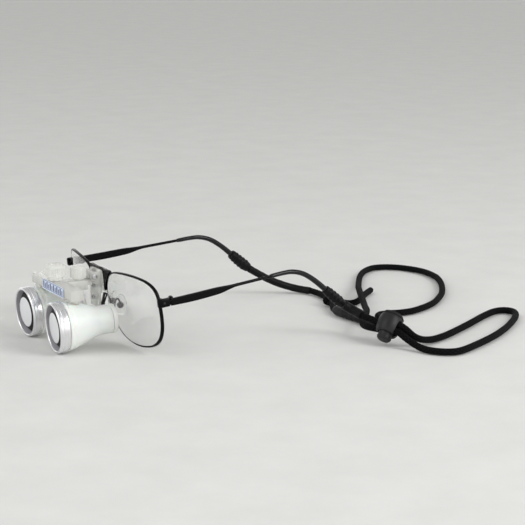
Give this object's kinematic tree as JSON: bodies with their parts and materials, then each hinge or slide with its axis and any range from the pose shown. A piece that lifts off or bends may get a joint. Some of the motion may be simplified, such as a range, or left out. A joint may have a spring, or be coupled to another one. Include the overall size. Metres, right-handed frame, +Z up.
{
  "type": "dental loupes",
  "caption": "Wire spectacle frame with a flip-up pair of telescopes on a clear adjustable bracket, folding temples and a corded head strap with a barrel lock.",
  "frame": {"origin": "middle of the footprint of the spectacles and telescopes, without the strap, on the table", "axes": "+Z up; -Y is the way the telescopes look; +X is the wearer's left"},
  "size_m": [0.239, 0.3166, 0.0476],
  "materials": {
    "black_metal": "semi-gloss black",
    "dark_screw": "blackened",
    "spectacle_lens": "polished",
    "smoked_tip": "smoked, clear",
    "silicone": "clear, soft",
    "clear_plastic": "clear, moulded",
    "ivory_shell": "satin white",
    "satin_silver": "satin",
    "baffle_black": "dead matte",
    "coated_glass": "coated",
    "blue_scale": "printed",
    "steel": "bright",
    "black_plastic": "moulded",
    "black_rubber": "soft matte",
    "black_cord": "braided"
  },
  "bodies": {
    "frame": {"rim_left": "black_metal", "rim_right": "black_metal", "lens_left": "spectacle_lens", "lens_right": "spectacle_lens", "pad_arm_left": "black_metal", "pad_arm_right": "black_metal", "end_piece_left": "black_metal", "end_piece_right": "black_metal", "hinge_screw_left": "dark_screw", "hinge_screw_right": "dark_screw", "bridge": "black_metal", "bracket": "clear_plastic", "clamp_plate": "clear_plastic", "bracket_screw_upper": "steel", "bracket_screw_lower": "steel", "release_base": "black_plastic", "release_pin": "steel", "flip_pin": "steel", "lock_body": "black_plastic", "lock_spring": "steel", "strap_knot": "black_cord", "strap_sleeve_left": "black_rubber", "strap_sleeve_right": "black_rubber", "strap_sleeve_lower": "black_rubber", "strap_cord_lead": "black_cord", "strap_cord_outer": "black_cord", "strap_cord_inner": "black_cord", "strap_cord_loop": "black_cord", "strap_cord_bight": "black_cord", "strap_cord_tail": "black_cord"},
    "temple_l": {"temple_left": "black_metal", "temple_tip_left": "smoked_tip", "strap_grip_left": "black_rubber"},
    "temple_r": {"temple_right": "black_metal", "temple_tip_right": "smoked_tip", "strap_grip_right": "black_rubber"},
    "nose_pad_l": {"nose_pad_left": "silicone"},
    "nose_pad_r": {"nose_pad_right": "silicone"},
    "flip_unit": {"flip_arm": "clear_plastic", "crossbar": "clear_plastic", "scale_plate": "blue_scale"},
    "arm_knob_body": {"arm_knob": "clear_plastic"},
    "pd_knob_body": {"pd_knob": "clear_plastic"},
    "barrel_l": {"slider_left": "clear_plastic", "barrel_shell_left": "ivory_shell", "front_ring_left": "satin_silver", "front_lens_left": "coated_glass", "baffle_left": "baffle_black", "eye_lens_left": "coated_glass", "eye_ring_left": "ivory_shell"},
    "barrel_r": {"slider_right": "clear_plastic", "barrel_shell_right": "ivory_shell", "front_ring_right": "satin_silver", "front_lens_right": "coated_glass", "baffle_right": "baffle_black", "eye_lens_right": "coated_glass", "eye_ring_right": "ivory_shell"},
    "release_lever_body": {"release_lever": "black_plastic"},
    "lock_button_body": {"lock_button": "black_plastic"}
  },
  "joints": [
    {"name": "temple_left_fold", "type": "hinge", "parent": "frame", "child": "temple_l", "pos_m": [0.0683, -0.03028, 0.0344], "axis": [0, -0.1115, 0.9938], "range_deg": [0, 68]},
    {"name": "temple_right_fold", "type": "hinge", "parent": "frame", "child": "temple_r", "pos_m": [-0.0683, -0.03028, 0.0344], "axis": [0, 0.1115, -0.9938], "range_deg": [0, 85]},
    {"name": "nose_pad_left_tilt", "type": "hinge", "parent": "frame", "child": "nose_pad_l", "pos_m": [0.007, -0.03519, 0.0204], "axis": [0, 0, 1], "range_deg": [-8, 8]},
    {"name": "nose_pad_right_tilt", "type": "hinge", "parent": "frame", "child": "nose_pad_r", "pos_m": [-0.007, -0.03519, 0.0204], "axis": [0, 0, 1], "range_deg": [-8, 8]},
    {"name": "flip_up", "type": "hinge", "parent": "frame", "child": "flip_unit", "pos_m": [0, -0.05149, 0.0388], "axis": [-1, 0, 0], "range_deg": [0, 65]},
    {"name": "arm_knob_turn", "type": "hinge", "parent": "flip_unit", "child": "arm_knob_body", "pos_m": [0, -0.05939, 0.04], "axis": [0, 0, 1], "range_deg": [-90, 90]},
    {"name": "pd_knob_turn", "type": "hinge", "parent": "flip_unit", "child": "pd_knob_body", "pos_m": [0, -0.07348, 0.044], "axis": [0, 0, 1], "range_deg": [-287, 287]},
    {"name": "pd_left_slide", "type": "slide", "parent": "flip_unit", "child": "barrel_l", "axis": [1, 0, 0], "range_m": [-0.004, 0.004]},
    {"name": "pd_right_slide", "type": "slide", "parent": "flip_unit", "child": "barrel_r", "axis": [1, 0, 0], "range_m": [-0.004, 0.004]},
    {"name": "release_lever_press", "type": "hinge", "parent": "frame", "child": "release_lever_body", "pos_m": [0, -0.04439, 0.0204], "axis": [1, 0, 0], "range_deg": [0, 12], "stiffness_Nm_per_rad": 0.02, "springref_deg": -5.73},
    {"name": "lock_button_press", "type": "slide", "parent": "frame", "child": "lock_button_body", "axis": [-0.2733, 0.5862, 0.7627], "range_m": [0, 0.0026], "stiffness_N_per_m": 300, "springref_m": -0.003, "deforming": ["lock_spring"]}
  ],
  "couplings": [
    {"joint": "pd_right_slide", "follows": "pd_left_slide", "ratio": -1},
    {"joint": "pd_knob_turn", "follows": "pd_left_slide", "rad_per_m": 1250}
  ]
}
